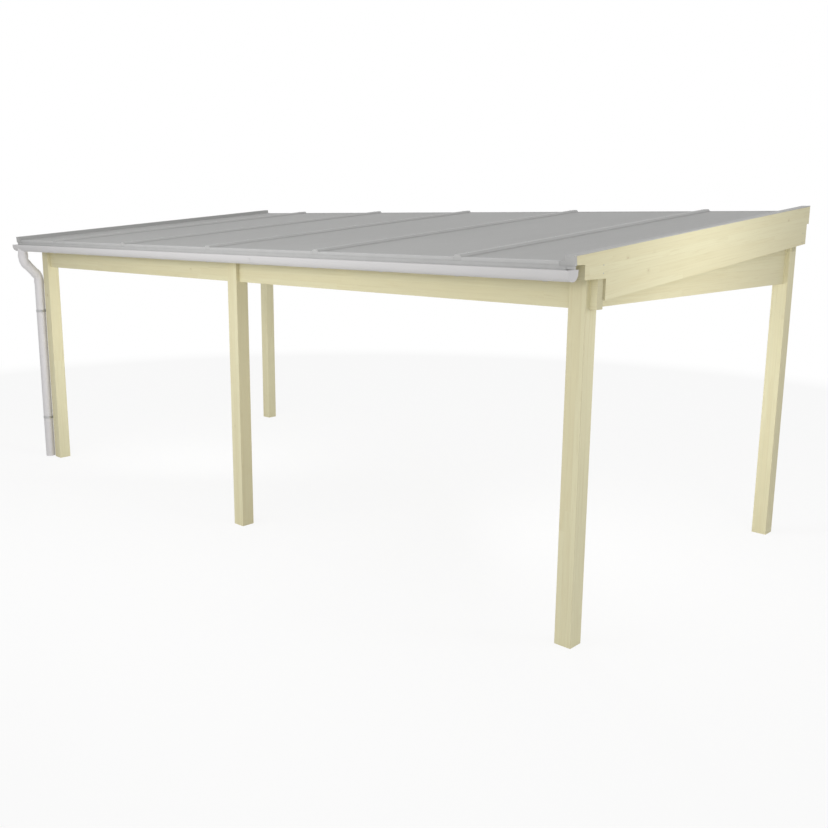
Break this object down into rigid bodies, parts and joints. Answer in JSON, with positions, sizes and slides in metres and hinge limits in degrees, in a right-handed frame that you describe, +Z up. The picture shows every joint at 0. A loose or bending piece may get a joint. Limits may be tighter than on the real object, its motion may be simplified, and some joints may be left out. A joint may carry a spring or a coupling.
{
  "type": "pergola",
  "caption": "Lean-to timber pergola on square posts with deep side planks, a grey sheet roof on glazing bars, a front gutter and a corner downpipe.",
  "frame": {"origin": "on the floor the posts stand on, at the middle of the whole object's width and depth", "axes": "+X to the right along the open front, +Y from the open front to the high back, +Z up"},
  "size_m": [6.6475, 3.303, 2.6216],
  "materials": {
    "timber": "planed laminated spruce, matt",
    "roof_sheet": "satin grey sheet",
    "roof_profile": "mill-finish profile",
    "rainwater": "pale grey rainwater goods",
    "bracket": "galvanised"
  },
  "bodies": {
    "root": {"front_left_post": "timber", "front_middle_post": "timber", "front_right_post": "timber", "back_left_post": "timber", "back_right_post": "timber", "front_beam": "timber", "back_beam": "timber", "left_side_panel": "timber", "right_side_panel": "timber", "left_barge_plank": "timber", "right_barge_plank": "timber", "rafter_1": "timber", "rafter_2": "timber", "rafter_3": "timber", "rafter_4": "timber", "rafter_5": "timber", "fascia_board": "timber", "roof_sheet_1": "roof_sheet", "roof_sheet_2": "roof_sheet", "roof_sheet_3": "roof_sheet", "roof_sheet_4": "roof_sheet", "roof_sheet_5": "roof_sheet", "roof_sheet_6": "roof_sheet", "glazing_bars": "roof_profile", "left_edge_trim": "roof_profile", "right_edge_trim": "roof_profile", "front_sheet_profile": "roof_profile", "back_sheet_profile": "roof_profile", "eaves_flashing": "roof_profile", "gutter_left": "rainwater", "gutter_right": "rainwater", "gutter_end_left": "rainwater", "gutter_end_right": "rainwater", "gutter_joint": "rainwater", "outlet": "rainwater", "upper_elbow": "rainwater", "offset_pipe": "rainwater", "lower_elbow": "rainwater", "downpipe": "rainwater", "gutter_brackets": "bracket", "pipe_clips": "bracket"}
  },
  "joints": []
}
